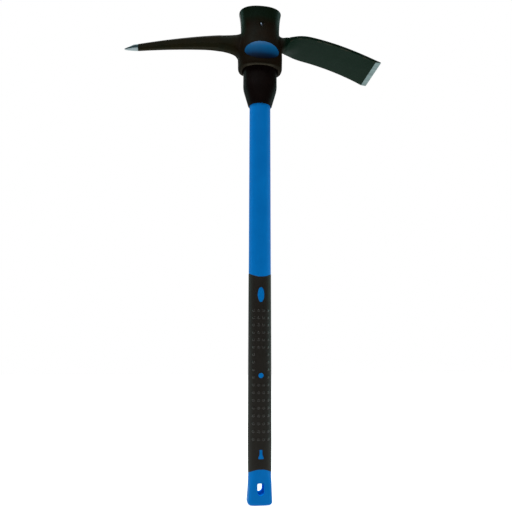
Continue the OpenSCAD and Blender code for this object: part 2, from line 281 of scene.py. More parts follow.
def choose_edges(test):
    """Selects the edges whose two ends, in millimetres, pass the test."""
    bpy.ops.mesh.select_mode(type="EDGE")
    bpy.ops.mesh.select_all(action="DESELECT")
    mesh = edited_mesh()
    for edge in mesh.edges:
        edge.select = test(edge.verts[0].co / MM, edge.verts[1].co / MM)
    show_choice(mesh)


def choose_sharp_edges(test, least_angle):
    """Selects the edges that turn by more than an angle, where a test on their middle passes."""
    bpy.ops.mesh.select_mode(type="EDGE")
    bpy.ops.mesh.select_all(action="DESELECT")
    mesh = edited_mesh()
    mesh.normal_update()
    for edge in mesh.edges:
        middle = (edge.verts[0].co + edge.verts[1].co) / 2 / MM
        turns = len(edge.link_faces) == 2 and edge.calc_face_angle(0) > math.radians(least_angle)
        edge.select = turns and test(middle)
    show_choice(mesh)


def choose_faces(test):
    """Selects the faces whose middle, in millimetres, and normal pass the test."""
    bpy.ops.mesh.select_mode(type="FACE")
    bpy.ops.mesh.select_all(action="DESELECT")
    mesh = edited_mesh()
    mesh.normal_update()
    for face in mesh.faces:
        face.select = test(face.calc_center_median() / MM, face.normal)
    show_choice(mesh)


def assign_finish(piece, place):
    """Gives the chosen faces the finish at a place in the piece's list."""
    piece.active_material_index = place
    bpy.ops.object.material_slot_assign()


def oval_ring(half_width, half_depth, z, shift, corners):
    """Starts a piece as one level oval ring."""
    deselect()
    bpy.ops.mesh.primitive_circle_add(vertices=corners, radius=MM, location=(0, 0, 0))
    bpy.ops.object.mode_set(mode="EDIT")
    bpy.ops.mesh.select_mode(type="VERT")
    bpy.ops.mesh.select_all(action="SELECT")
    bpy.ops.transform.resize(value=(half_width, half_depth, 1))
    bpy.ops.transform.translate(value=(shift * MM, 0, z * MM))


def signed_power(value, power):
    return math.copysign(abs(value) ** power, value)


def square_off(half_width, half_depth, shift, before, after):
    """Fills out the corners of the chosen oval ring, from one squareness to another."""
    for point in edited_mesh().verts:
        if point.select:
            across = signed_power((point.co.x / MM - shift) / half_width, before / after)
            along = signed_power(point.co.y / MM / half_depth, before / after)
            point.co.x = (shift + half_width * across) * MM
            point.co.y = half_depth * along * MM
    bmesh.update_edit_mesh(bpy.context.edit_object.data)


def draw_out(rings, corners=SMOOTH_CORNERS):
    """Extrudes a ring through rings of half width, half depth, height, sideways shift and squareness."""
    rings = [ring if len(ring) == 5 else (*ring, ELLIPSE) for ring in rings]
    oval_ring(*rings[0][:4], corners)
    square_off(*rings[0][:2], rings[0][3], ELLIPSE, rings[0][4])
    for (a0, b0, z0, s0, q0), (a1, b1, z1, s1, q1) in zip(rings, rings[1:]):
        step = ((s1 - s0) * MM, 0, (z1 - z0) * MM)
        bpy.ops.mesh.extrude_region_move(TRANSFORM_OT_translate={"value": step})
        bpy.ops.transform.resize(value=(a1 / a0, b1 / b0, 1), center_override=(s1 * MM, 0, z1 * MM))
        if q1 != q0:
            square_off(a1, b1, s1, q0, q1)
    return bpy.context.edit_object


def join_open_rings():
    """Bridges the two open rings of a tube, which closes its wall."""
    bpy.ops.mesh.select_mode(type="EDGE")
    bpy.ops.mesh.select_all(action="DESELECT")
    bpy.ops.mesh.select_non_manifold()
    bpy.ops.mesh.bridge_edge_loops()


def cap_open_rings():
    bpy.ops.mesh.select_mode(type="EDGE")
    bpy.ops.mesh.select_all(action="SELECT")
    bpy.ops.mesh.fill_holes(sides=0)


def face_outwards():
    bpy.ops.mesh.select_mode(type="VERT")
    bpy.ops.mesh.select_all(action="SELECT")
    bpy.ops.mesh.remove_doubles(threshold=MERGE * MM)
    bpy.ops.mesh.normals_make_consistent(inside=False)


def stand_up(piece, place):
    """Turns a piece drawn on the floor so that its top faces the front, moves it and applies both."""
    moved = Matrix.Translation([part * MM for part in place])
    piece.matrix_world = moved @ Matrix.Rotation(math.pi / 2, 4, "X")
    take(piece)
    bpy.ops.object.transform_apply()
    return piece


def apply_modifier(piece, kind, **settings):
    take(piece)
    modifier = piece.modifiers.new(kind.lower(), kind)
    for key, value in settings.items():
        setattr(modifier, key, value)
    bpy.ops.object.modifier_apply(modifier=modifier.name)


def cut(piece, cutter, operation="DIFFERENCE"):
    """Cuts a cutter out of a piece, or joins it on, and removes the cutter."""
    apply_modifier(piece, "BOOLEAN", operation=operation, solver="EXACT", object=cutter)
    bpy.data.objects.remove(cutter)


def weld_seams(piece):
    """Merges points that a cut leaves on top of each other, and takes out corners of only two edges."""
    edit(piece)
    bpy.ops.mesh.select_mode(type="VERT")
    bpy.ops.mesh.select_all(action="SELECT")
    bpy.ops.mesh.remove_doubles(threshold=SEAM_MERGE * MM)
    bpy.ops.mesh.select_all(action="DESELECT")
    mesh = edited_mesh()
    for corner in mesh.verts:
        corner.select = len(corner.link_edges) == 2
    show_choice(mesh)
    bpy.ops.mesh.dissolve_verts()


def join(pieces):
    take(pieces[0])
    for piece in pieces:
        piece.select_set(True)
    bpy.ops.object.join()
    return pieces[0]


def finish_piece(piece, name, materials, node=None, angle=35):
    """Names and smooths a piece, and sets its finishes, its body and the solid that it stands for."""
    piece.name = name
    piece.data.name = name
    take(piece)
    bpy.ops.object.shade_smooth_by_angle(angle=math.radians(angle))
    for place, material in enumerate(materials):
        if place < len(piece.material_slots):
            piece.material_slots[place].material = material
        else:
            piece.data.materials.append(material)
    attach(piece, "root")
    if node:
        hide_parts(node)
    return piece


# Finishes

class Finish:
    """A material with a Principled shader, and short ways to add nodes to it."""

    def __init__(self, name, **sockets):
        self.material = bpy.data.materials.new(name)
        self.material.use_nodes = True
        self.tree = self.material.node_tree
        self.shader = self.tree.nodes["Principled BSDF"]
        self.place = self.tree.nodes.new("ShaderNodeTexCoord").outputs["Object"]
        for key, value in sockets.items():
            self.shader.inputs[key.replace("_", " ")].default_value = value

    def node(self, kind, inputs=None, **settings):
        made = self.tree.nodes.new(kind)
        for key, value in settings.items():
            setattr(made, key, value)
        for key, value in (inputs or {}).items():
            if isinstance(value, bpy.types.NodeSocket):
                self.tree.links.new(value, made.inputs[key])
            else:
                made.inputs[key].default_value = value
        return made

    def axes(self):
        """The three parts of the place on the piece, in metres."""
        return self.node("ShaderNodeSeparateXYZ", {"Vector": self.place}).outputs

    def stretched(self, scale):
        """Object coordinates, scaled along each axis."""
        return self.node("ShaderNodeMapping", {"Vector": self.place, "Scale": scale}).outputs[0]

    def noise(self, scale, detail=4, roughness=0.5, place=None):
        inputs = {"Vector": place or self.place, "Scale": scale, "Detail": detail, "Roughness": roughness}
        return self.node("ShaderNodeTexNoise", inputs).outputs["Fac"]

    def ramp(self, value, stops):
        """Colours or greys between places from 0 to 1."""
        made = self.node("ShaderNodeValToRGB", {"Fac": value})
        elements = made.color_ramp.elements
        while len(elements) < len(stops):
            elements.new(0.5)
        for element, (place, colour) in zip(elements, stops):
            element.position = place
            element.color = (*colour, 1) if isinstance(colour, tuple) else (colour, colour, colour, 1)
        return made.outputs["Color"]

    def span(self, value, low, high, start=0.3, end=0.7):
        """Number between low and high, as a value goes from start to end."""
        inputs = {"Value": value, "From Min": start, "From Max": end, "To Min": low, "To Max": high}
        return self.node("ShaderNodeMapRange", inputs).outputs[0]

    def math(self, operation, first, second):
        return self.node("ShaderNodeMath", {0: first, 1: second}, operation=operation).outputs[0]

    def mix(self, share, first, second):
        """Colour between two colours."""
        return self.node("ShaderNodeMix", {0: share, 6: first, 7: second}, data_type="RGBA").outputs[2]

    def bump(self, height, strength, distance, under=None):
        inputs = {"Height": height, "Strength": strength, "Distance": distance * MM}
        if under:
            inputs["Normal"] = under
        return self.node("ShaderNodeBump", inputs).outputs[0]

    def set(self, socket, value):
        self.tree.links.new(value, self.shader.inputs[socket])


def forged_paint():
    """Satin black paint on forged scale, with a painted highlight along the collar's rim, and rubbed ridges
    that also carry a painted highlight.

    It is brownish in front, olive on the pick, and greenish on the blade; the green on the eye's sides and
    top is a painted teal sheen.
    """
    finish = Finish("black_paint_on_forging", Specular_IOR_Level=0.03, Specular_Tint=(0.50, 1.0, 0.82, 1))
    mottle = finish.noise(45, 5, 0.55)
    brown = finish.ramp(mottle, [(0.35, (0.0080, 0.0036, 0.0014)), (0.65, (0.0056, 0.0034, 0.0018))])
    olive = finish.ramp(mottle, [(0.35, (0.0100, 0.0066, 0.0024)), (0.65, (0.0070, 0.0062, 0.0028))])
    green = finish.ramp(mottle, [(0.35, (0.0018, 0.0080, 0.0040)), (0.65, (0.0030, 0.0094, 0.0054))])
    rim_highlight_tone = finish.ramp(mottle, [(0.40, (0.012, 0.009, 0.006)), (0.60, (0.034, 0.028, 0.020))])
    bare_and_highlight_tone = finish.ramp(mottle, [(0.3, (0.040, 0.030, 0.019)), (0.7, (0.060, 0.050, 0.036))])
    place = finish.axes()
    across = finish.math("MULTIPLY", place["X"], place["X"])

    # Places of the tints; on the eye's sides and top the green is a painted teal sheen
    on_blade = finish.span(place["X"], 0, 1, 0.043, 0.051)
    on_pick = finish.span(place["X"], 1, 0, -0.056, -0.044)
    off_pick = finish.span(place["X"], 0, 1, -0.043, -0.040)
    above_collar = finish.span(place["Z"], 0, 1, 0.852, 0.866)
    side_sheen_mask = finish.math("MULTIPLY", finish.span(across, 0, 1, 0.027 ** 2, 0.036 ** 2), above_collar)
    top_sheen_mask = finish.span(place["Z"], 0, 0.75, 0.880, 0.896)
    painted_eye_sheen = finish.math("MAXIMUM", top_sheen_mask, finish.math("MULTIPLY", side_sheen_mask, off_pick))
    painted = finish.mix(on_pick, brown, olive)
    painted = finish.mix(on_blade, painted, green)
    # Painted teal sheen on the eye's sides and top
    painted = finish.mix(painted_eye_sheen, painted, green)

    # Painted highlight along the collar's rim, and rubbed ridges with a painted highlight
    low = finish.span(place["Z"], 1, 0, (RIM_Z + 2.8) * MM, (RIM_Z + 5.0) * MM)
    painted_rim_highlight = finish.math("MULTIPLY", low, finish.span(across, 1, 0, 0.024 ** 2, 0.040 ** 2))
    # Painted highlight: a lighter band along the collar's rim
    painted = finish.mix(painted_rim_highlight, painted, rim_highlight_tone)
    # Partly wear and partly a painted highlight: sharp ridges are lighter
    pointiness = finish.node("ShaderNodeNewGeometry").outputs["Pointiness"]
    ridges = finish.span(pointiness, 0, 1, 0.52, 0.60)
    rubbed_and_highlit = finish.math("MULTIPLY", ridges, finish.span(finish.noise(130, 4), 0, 1, 0.46, 0.62))
    finish.set("Base Color", finish.mix(rubbed_and_highlit, painted, bare_and_highlight_tone))

    # Duller off the blade, below the top of the eye
    off_blade = finish.span(place["X"], 0.22, 0, 0.043, 0.051)
    dull = finish.math("MULTIPLY", off_blade, finish.span(place["Z"], 1, 0, 0.868, 0.886))
    finish.set("Roughness", finish.math("ADD", dull, finish.span(finish.noise(120, 6, 0.6), 0.28, 0.42)))
    scale_pits = finish.bump(finish.noise(260, 6, 0.6), 0.35, 0.35)
    finish.set("Normal", finish.bump(finish.noise(1900, 3), 0.12, 0.1, scale_pits))
    return finish.material


def ground_steel(name, grain, tone):
    """Bright steel with patches, and with grinding lines that lie close along the grain's largest axis."""
    finish = Finish(name, Metallic=1.0)
    lines = finish.noise(1, 3, 0.6, finish.stretched(grain))
    coarse = finish.stretched(tuple(part / 6 for part in grain))
    patches = finish.span(finish.noise(1, 2, 0.5, coarse), 0, 1, 0.40, 0.66)
    dull = tuple(0.80 * part for part in tone)
    bright = tuple(1.30 * part for part in tone)
    dim_lines = finish.ramp(lines, [(0.3, dull), (0.7, tone)])
    bright_lines = finish.ramp(lines, [(0.3, tone), (0.7, bright)])
    finish.set("Base Color", finish.mix(patches, dim_lines, bright_lines))
    finish.set("Roughness", finish.span(lines, 0.26, 0.40))
    finish.set("Normal", finish.bump(lines, 0.2, 0.04))
    return finish.material


def blue_plastic(name, gloss, shade):
    """Blue plastic whose colour is lighter by a factor, the shade; a factor above 1 is painted light."""
    finish = Finish(name, Specular_IOR_Level=gloss)
    deep = tuple(shade * part for part in (0.0004, 0.122, 0.400))
    light = tuple(shade * part for part in (0.0008, 0.138, 0.440))
    finish.set("Base Color", finish.ramp(finish.noise(22, 3), [(0.3, deep), (0.7, light)]))
    finish.set("Roughness", finish.span(finish.noise(300, 4), 0.40, 0.52))
    finish.set("Normal", finish.bump(finish.noise(900, 3), 0.08, 0.12))
    return finish.material


def black_plastic():
    finish = Finish("black_moulded_plastic", Specular_IOR_Level=0.04)
    tones = [(0.3, (0.0020, 0.0008, 0.0006)), (0.7, (0.0032, 0.0014, 0.0011))]
    finish.set("Base Color", finish.ramp(finish.noise(60, 4), tones))
    finish.set("Roughness", finish.span(finish.noise(400, 4), 0.40, 0.55))
    finish.set("Normal", finish.bump(finish.noise(1500, 3), 0.15, 0.12))
    return finish.material


def grip_rubber(name, gloss, low, high):
    """Black rubber with a roughness between low and high."""
    finish = Finish(name, Specular_IOR_Level=gloss)
    tones = [(0.3, (0.0078, 0.0058, 0.0040)), (0.7, (0.0102, 0.0084, 0.0062))]
    finish.set("Base Color", finish.ramp(finish.noise(40, 4), tones))
    finish.set("Roughness", finish.span(finish.noise(500, 4), low, high))
    finish.set("Normal", finish.bump(finish.noise(2200, 3), 0.25, 0.12))
    return finish.material


def zinc():
    finish = Finish("zinc_plated_steel", Metallic=1.0)
    bloom = finish.noise(700, 5)
    finish.set("Base Color", finish.ramp(bloom, [(0.3, (0.10, 0.135, 0.18)), (0.7, (0.17, 0.215, 0.27))]))
    finish.set("Roughness", finish.span(bloom, 0.28, 0.42))
    return finish.material


def fibreglass():
    """Resin with the cut ends of glass strands, which run along the core."""
    finish = Finish("fibreglass_end_grain", IOR=1.52)
    cells = finish.node("ShaderNodeTexVoronoi", {"Vector": finish.stretched((1, 1, 0.02)), "Scale": 900})
    strands = cells.outputs["Distance"]
    finish.set("Base Color", finish.ramp(strands, [(0.1, (0.72, 0.66, 0.44)), (0.6, (0.40, 0.33, 0.17))]))
    finish.set("Roughness", finish.span(finish.noise(300), 0.35, 0.6))
    finish.set("Normal", finish.bump(strands, 0.2, 0.1))
    return finish.material


def label_print():
    """Plain blue sticker that darkens to navy along its foot, with a painted sheen in the pale tone at its
    top.
    """
    finish = Finish("label_print", Specular_IOR_Level=0.08)
    foot = (LABEL_Z - LABEL_PRINT_HALF) * MM
    top = (LABEL_Z + LABEL_PRINT_HALF) * MM
    up = finish.span(finish.axes()["Z"], 0, 1, foot, top)
    # The navy foot is print; the pale top tone is a painted sheen
    tones = [(0.10, (0.001, 0.003, 0.010)), (0.26, (0.001, 0.012, 0.038)), (0.42, (0.002, 0.044, 0.125)),
             (0.75, (0.003, 0.092, 0.245)), (1.0, (0.036, 0.125, 0.280))]
    finish.set("Base Color", finish.ramp(up, tones))
    finish.set("Roughness", finish.span(finish.noise(40), 0.30, 0.34))
    return finish.material


# Head

def full(half_width, z, ratio):
    """Ring of the eye, a little wide because the subdivision draws a ring of so many corners in."""
    swell = 1 / (2 / 3 + math.cos(2 * math.pi / HEAD_CORNERS) / 3)
    return (half_width * swell, half_width * ratio * swell, z, 0.0, EYE_SQUARE)


def eye_tube():
    """The eye as a closed tube: up its outside, over the lip, down the bore and back to the rim."""
    rings = [full(half_width, z, EYE_RATIO) for half_width, z in EYE_OUTSIDE]
    rings += [full(half_width, z, BORE_RATIO) for half_width, z in EYE_BORE]
    tube = draw_out(rings, HEAD_CORNERS)
    join_open_rings()
    face_outwards()
    choose_points(lambda p: p.z < RIM_Z + 2 and abs(p.x) < 1)
    bpy.ops.transform.translate(value=(0, 0, RIM_RISE * MM), use_proportional_edit=True,
                                proportional_edit_falloff="INVERSE_SQUARE",
                                proportional_size=RIM_RISE_REACH * MM)
    return tube


class Arm:
    """An arm that is drawn out of a grid of chosen faces on the eye, section by section."""

    def __init__(self, side, columns, rows):
        self.side = side
        self.grid = [(across, up) for up in rows for across in columns]
        points = sorted((v.co.copy() for v in edited_mesh().verts if v.select), key=lambda co: co.z)
        lines = [points[k:k + len(columns)] for k in range(0, len(points), len(columns))]
        self.places = [co for line in lines for co in sorted(line, key=lambda co: co.y)]

    def draw(self, reach, half, low, high, shape=None, curve=0.0):
        """Draws the end out to a section; the curve is the part of the old end's roundness that it keeps."""
        bpy.ops.mesh.extrude_region_move()
        ends = [v for v in edited_mesh().verts if v.select]
        far = max(self.side * co.x for co in self.places)
        old_places, self.places = self.places, []
        for old, (across, up) in zip(old_places, self.grid):
            point = min(ends, key=lambda v: (v.co - old).length)
            ends.remove(point)
            y, z = shape(across, up) if shape else (across, up)
            depth = curve * (far - self.side * old.x)
            height = (low + high + z * (high - low)) / 2
            place = Vector((self.side * (reach * MM - depth), y * half * MM, height * MM))
            self.places.append(place)
            point.co = place
        bmesh.update_edit_mesh(bpy.context.edit_object.data)


def fillet(radius, distance):
    """How far a fillet stands out at a distance from the wall that it runs into."""
    left = max(0.0, radius - max(0.0, distance))
    return radius - math.sqrt(radius ** 2 - left ** 2)


def slanted(corner):
    """Rule that draws the corners of a section in to a slant."""
    def draw_in(across, up):
        shrink = min(1.0, (1 + corner) / max(1.0, abs(across) + abs(up)))
        return across * shrink, up * shrink
    return draw_in


def pick_section(d):
    """Half thickness, low edge and high edge of the pick at a distance from the centre line."""
    run = max(0.0, (d - PICK_ROOT) / (PICK_POINT - PICK_ROOT))
    edge = PICK_ROOT_Z - PICK_FALL * (0.54 * run + 0.46 * run ** 2)
    left = PICK_TAPER_END - d
    side_fillet, foot_fillet, top_fillet = PICK_FILLETS
    half = PICK_END_HALF + PICK_SPREAD * left / (PICK_TAPER_END - COLLAR_R)
    half += fillet(side_fillet, d - COLLAR_R)
    belly = max(0.0, PICK_BELLY_END - d) ** 2 / PICK_BELLY_CURVE
    low = edge - PICK_END_HEIGHT - PICK_DEEPENING * left - belly - fillet(foot_fillet, d - COLLAR_R)
    near = max(0.0, min(1.0, (PICK_GROUND - d) / PICK_CROWN_RUN))
    side, foot, top = PICK_SWELL
    high = edge + top + PICK_CROWN * near + fillet(top_fillet, d - WAIST_R)
    return half + side, low - foot, high


def draw_pick():
    """The pick: faces of the cheek, drawn out into a tapered octagon and a ground point."""
    low, high = PICK_CHEEK
    choose_faces(lambda c, n: c.x < 0 and n.x < -0.5 and abs(c.y) < CHEEK_HALF and low < c.z < high)
    lines = (-1, -PICK_CORNER, 0, PICK_CORNER, 1)
    pick = Arm(-1, lines, lines)
    for reach, half, low, high, corner, curve in PICK_NECK:
        pick.draw(reach, half, low, high, slanted(corner), curve)
    for reach in PICK_REACHES:
        pick.draw(reach, *pick_section(reach), slanted(PICK_CORNER))
    half, low, high = pick_section(PICK_GROUND)
    middle = (low + high) / 2
    tall = (high - low) / 2
    for left, wide, deep, drop in POINT_SECTIONS:
        foot = middle - drop - deep * tall
        top = middle - drop + deep * tall
        pick.draw(PICK_POINT - left, wide * half, foot, top, slanted(PICK_CORNER))


def blade_section(d):
    """Half width, middle and half thickness along the spine of the blade, at a distance as for the pick."""
    run = max(0.0, (d - BLADE_ROOT) / (BLADE_EDGE - BLADE_ROOT))
    root = max(0.0, min(1.0, (SPINE_END - d) / (SPINE_END - SPINE_START)))
    root = root ** 2 * (3 - 2 * root)
    middle = BLADE_ROOT_Z - BLADE_ROOT_DIP * root - BLADE_FALL * (0.33 * run + 0.67 * run ** 2)
    flare = (BLADE_HALF - (LEAF_HALF + LEAF_SPREAD)) * max(0.0, 1 - (BLADE_EDGE - d) / FLARE_RUN) ** 2
    leaf = math.sqrt(max(0.0, 1 - max(0.0, (LEAF_END - d) / LEAF_RUN) ** 2))
    half = (LEAF_HALF + LEAF_SPREAD * run + flare) * leaf
    return half, middle, SPINE_HALF + SPINE_SWELL * root


def draw_blade():
    """The adze blade: a neck from the cheek that spreads into a rounded leaf and a broad plate."""
    low, high = BLADE_CHEEK
    choose_faces(lambda c, n: c.x > 0 and n.x > 0.5 and abs(c.y) < CHEEK_HALF and low < c.z < high)
    blade = Arm(1, (-1, -0.5, 0, 0.5, 1), (-1, 0, 1))
    for reach, half, low, high, corner, curve in BLADE_NECK:
        blade.draw(reach, half, low, high, slanted(corner), curve)
    for reach, side in BLADE_SIDES:
        half, middle, spine = blade_section(reach)
        bulge = spine / side - 1
        blade.draw(reach, half, middle - side, middle + side,
                   lambda across, up: (across, up * (1 + bulge * (1 - across ** 2) ** 2)))
    edge = blade_section(BLADE_EDGE)[1] + BLADE_SIDE
    blade.draw(BLADE_EDGE, BLADE_HALF, edge - EDGE_T, edge)


def crease_sharp_edges(test, sharpness, least_angle):
    """Keeps the edges that turn by more than an angle, where a test on their middle passes."""
    choose_sharp_edges(test, least_angle)
    bpy.ops.transform.edge_crease(value=sharpness)


def forged_head(finishes):
    """The head; its finishes are paint, the steel of the ground point, a darker copy of it as painted shade
    on the point's upper facets, and the steel of the edge.
    """
    head = eye_tube()
    draw_pick()
    draw_blade()
    face_outwards()
    crease_sharp_edges(lambda c: -PICK_GROUND < c.x < -PICK_RIDGES, sharpness=0.75, least_angle=30)
    crease_sharp_edges(lambda c: c.x < -PICK_GROUND + 0.1, sharpness=0.9, least_angle=12)
    crease_sharp_edges(lambda c: ROOT_RIDGES < c.x < PLATE_RIDGES, sharpness=0.8, least_angle=40)
    crease_sharp_edges(lambda c: c.x > PLATE_RIDGES, sharpness=0.95, least_angle=20)
    for finish in finishes:
        head.data.materials.append(finish)
    # The point's upper facets take the darker steel, a painted shade
    ground_faces = [lambda c, n: c.x < -PICK_GROUND,
                    lambda c, n: c.x < -PICK_GROUND and n.z > -0.3,
                    lambda c, n: c.x > BLADE_EDGE - BEVEL + 0.1 and (n.z < -0.2 or n.x > 0.8)]
    for place, test in enumerate(ground_faces, 1):
        choose_faces(test)
        assign_finish(head, place)
    apply_modifier(head, "SUBSURF", levels=2, render_levels=2)
    cut(head, pin_hole())
    weld_seams(head)
    return finish_piece(head, "mattock_head", finishes, "forged_head", 30)


def pin_solid(outline):
    """Round solid through the eye, front to back, of an outline of radius and distance from the middle."""
    rings = [(radius, radius, -z, 0.0) for radius, z in reversed(outline)]
    rings += [(radius, radius, z, 0.0) for radius, z in outline]
    solid = draw_out(rings, PIN_CORNERS)
    cap_open_rings()
    face_outwards()
    return stand_up(solid, (0, 0, PIN_Z))


def pin_hole():
    """Cutter for the pin's hole and for the countersinks in both walls of the eye."""
    wall = WAIST_R * EYE_RATIO + SINK_PROUD
    depth = SINK_R - PIN_R
    return pin_solid([(PIN_R, wall - depth), (SINK_R, wall), (SINK_R + depth, wall + depth)])


def cross_pin(metal):
    """Cross pin with both ends set over into low domes."""
    shoulder = WAIST_R * EYE_RATIO - PIN_INSET - PIN_DOME
    angles = [math.radians(angle) for angle in (0, 20, 40, 60, 78)]
    pin = pin_solid([(PIN_R * math.cos(a), shoulder + PIN_DOME * math.sin(a)) for a in angles])
    return finish_piece(pin, "cross_pin", [metal], "head_pin")


def eye_sleeve(plastic):
    """Moulded sleeve: a tapered skirt under the head, and a plug that fills the eye round the core."""
    foot = SLEEVE_FOOT
    top = SLEEVE_TOP
    skirt = (SKIRT_R, SKIRT_R * SHAFT_RATIO, ELLIPSE)
    body = (SLEEVE_R, SLEEVE_R * BORE_RATIO, EYE_SQUARE)
    plug = (PLUG_R, PLUG_R * BORE_RATIO, EYE_SQUARE)
    shaft = (SHAFT_R, SHAFT_R * SHAFT_RATIO)

    def taper(z):
        share = (z - foot) / (SHOULDER_Z - foot)
        if share > 1 + SHOULDER_EASE:
            share = 1.0
        elif share > 1 - SHOULDER_EASE:
            share = 1 - (1 + SHOULDER_EASE - share) ** 2 / (4 * SHOULDER_EASE)
        return tuple(low + (high - low) * share for low, high in zip(skirt, body))

    def ring(z, half_width, half_depth, square, inset=0.0):
        return (half_width - inset, half_depth - inset, z, 0.0, square)

    shares = (0.4, 0.8, 0.86, 0.92, 0.98, 1.04, 1.1, 1.2)
    heights = [foot + 1] + [foot + (SHOULDER_Z - foot) * share for share in shares]
    rings = [ring(foot, *skirt, 1.0), ring(foot + 0.3, *skirt, 0.3)]
    rings += [ring(z, *taper(z)) for z in heights]
    rings += [ring(RIM_Z + 9, *body), ring(top - 1, *plug)]
    rings += [ring(top - 0.3, *plug, 0.3), ring(top, *plug, 1.0)]
    rings += [(*CORE_HALF, top, 0.0), (*CORE_HALF, JACKET_TOP, 0.0)]
    rings += [(*shaft, JACKET_TOP, 0.0), (*shaft, foot, 0.0)]
    sleeve = draw_out(rings)
    join_open_rings()
    face_outwards()
    return finish_piece(sleeve, "eye_sleeve_moulding", [plastic], "eye_sleeve")


# Handle

def handle_ring(z, grow=0.0, height=None):
    """Ring of the handle's outside at a height, grown all round."""
    share = max(0.0, 1 - z / BUTT_FLARE_H) ** BUTT_FLARE_POWER
    waist = BUTT_WAIST * max(0.0, min(1.0, (BUTT_WAIST_END - z) / (BUTT_WAIST_END - BUTT_FLARE_H)))
    half = SHAFT_R - waist + (BUTT_FLARE_PICK + BUTT_FLARE_BLADE) / 2 * share
    shift = (BUTT_FLARE_BLADE - BUTT_FLARE_PICK) / 2 * share
    square = ELLIPSE + (BUTT_SQUARE - ELLIPSE) * max(0.0, 1 - (z / BUTT_FLARE_H) ** 2)
    return (half + grow, half * SHAFT_RATIO + grow, z if height is None else height, shift, square)


def bow_ends(low, high, dip):
    """Draws the ends of a tube in at its front and back, along a smooth curve."""
    near = 2
    mesh = edited_mesh()
    for point in mesh.verts:
        across = point.co.y / MM / (SHAFT_R * SHAFT_RATIO)
        if abs(point.co.z / MM - low) < near:
            point.co.z += dip * MM * min(1.0, across ** 2)
        elif abs(point.co.z / MM - high) < near:
            point.co.z -= dip * MM * min(1.0, across ** 2)
    bmesh.update_edit_mesh(bpy.context.edit_object.data)


def grip_tube(proud, edge):
    """Tube wall of the grip with rounded outer edges, standing proud of the jacket."""
    rounding = [(0, proud - edge), (edge * 0.4, proud - edge * 0.3), (edge, proud)]
    wall = [(GRIP_LOW + rise, grow) for rise, grow in rounding]
    wall += [(z, proud) for z in GRIP_OUTER_RINGS]
    wall += [(GRIP_HIGH - rise, grow) for rise, grow in reversed(rounding)]
    wall += [(z, -GRIP_T) for z in GRIP_INNER_RINGS]
    tube = draw_out([handle_ring(z, grow) for z, grow in wall])
    join_open_rings()
    face_outwards()
    bow_ends(GRIP_LOW, GRIP_HIGH, GRIP_DIP)
    return tube


def through_cutter(shape):
    """Turns a flat shape drawn on the floor into a cutter right through the handle, from front to back."""
    reach = 40
    bpy.ops.mesh.select_all(action="SELECT")
    bpy.ops.mesh.extrude_region_move(TRANSFORM_OT_translate={"value": (0, 0, 2 * reach * MM)})
    face_outwards()
    return stand_up(shape, (0, reach, 0))


def oval_shape(half_width, half_height, z):
    deselect()
    bpy.ops.mesh.primitive_circle_add(vertices=WINDOW_CORNERS, radius=MM, fill_type="NGON",
                                      location=(0, 0, 0))
    shape = bpy.context.object
    edit(shape)
    bpy.ops.mesh.select_all(action="SELECT")
    bpy.ops.transform.resize(value=(half_width, half_height, 1))
    bpy.ops.transform.translate(value=(0, z * MM, 0))
    return shape


def plate_shape(half_width, low, high):
    deselect()
    bpy.ops.mesh.primitive_plane_add(size=2 * MM, location=(0, 0, 0))
    shape = bpy.context.object
    edit(shape)
    bpy.ops.mesh.select_all(action="SELECT")
    bpy.ops.transform.resize(value=(half_width, (high - low) / 2, 1))
    bpy.ops.transform.translate(value=(0, (low + high) / 2 * MM, 0))
    return shape


def bell_shape(inset):
    """A bell: a straight crown that spreads to a broad foot."""
    crown = BELL_CROWN - inset
    foot = BELL_FOOT + inset
    outline = [*BELL_SIDES, (BELL_FOOT_HALF, foot)]
    crown_half, crown_low = outline[0]
    bell = plate_shape(crown_half - inset, crown_low, crown)
    choose_edges(lambda p, q: max(p.y, q.y) < crown_low + 0.1)
    for (half, z), (next_half, next_z) in zip(outline, outline[1:]):
        bpy.ops.mesh.extrude_region_move(TRANSFORM_OT_translate={"value": (0, (next_z - z) * MM, 0)})
        spread = (next_half - inset) / (half - inset)
        bpy.ops.transform.resize(value=(spread, 1, 1), center_override=(0, next_z * MM, 0))
    choose_points(lambda p: p.y > crown - 0.1 or p.y < foot + 0.1)
    bpy.ops.mesh.bevel(offset=BELL_CORNER * MM, segments=4, affect="VERTICES")
    return bell


def window_cutters(inset):
    """Cutters for the oval, round and bell windows of the grip, drawn in by an inset."""
    cutters = []
    for half_width, half_height, z in (OVAL_WINDOW, ROUND_WINDOW):
        cutters.append(through_cutter(oval_shape(half_width - inset, half_height - inset, z)))
    cutters.append(through_cutter(bell_shape(inset)))
    return join(cutters)


def hanging_slot():
    """Cutter for the slot, which is round at its foot and has small corners at its flat top."""
    slot = plate_shape(SLOT_HALF, SLOT_LOW, SLOT_HIGH)
    choose_points(lambda p: p.y < SLOT_LOW + 0.1)
    bpy.ops.mesh.bevel(offset=(SLOT_HALF - 0.01) * MM, segments=12, affect="VERTICES")
    choose_points(lambda p: p.y > SLOT_HIGH - 0.1)
    bpy.ops.mesh.bevel(offset=SLOT_CORNER * MM, segments=5, affect="VERTICES")
    return through_cutter(slot)


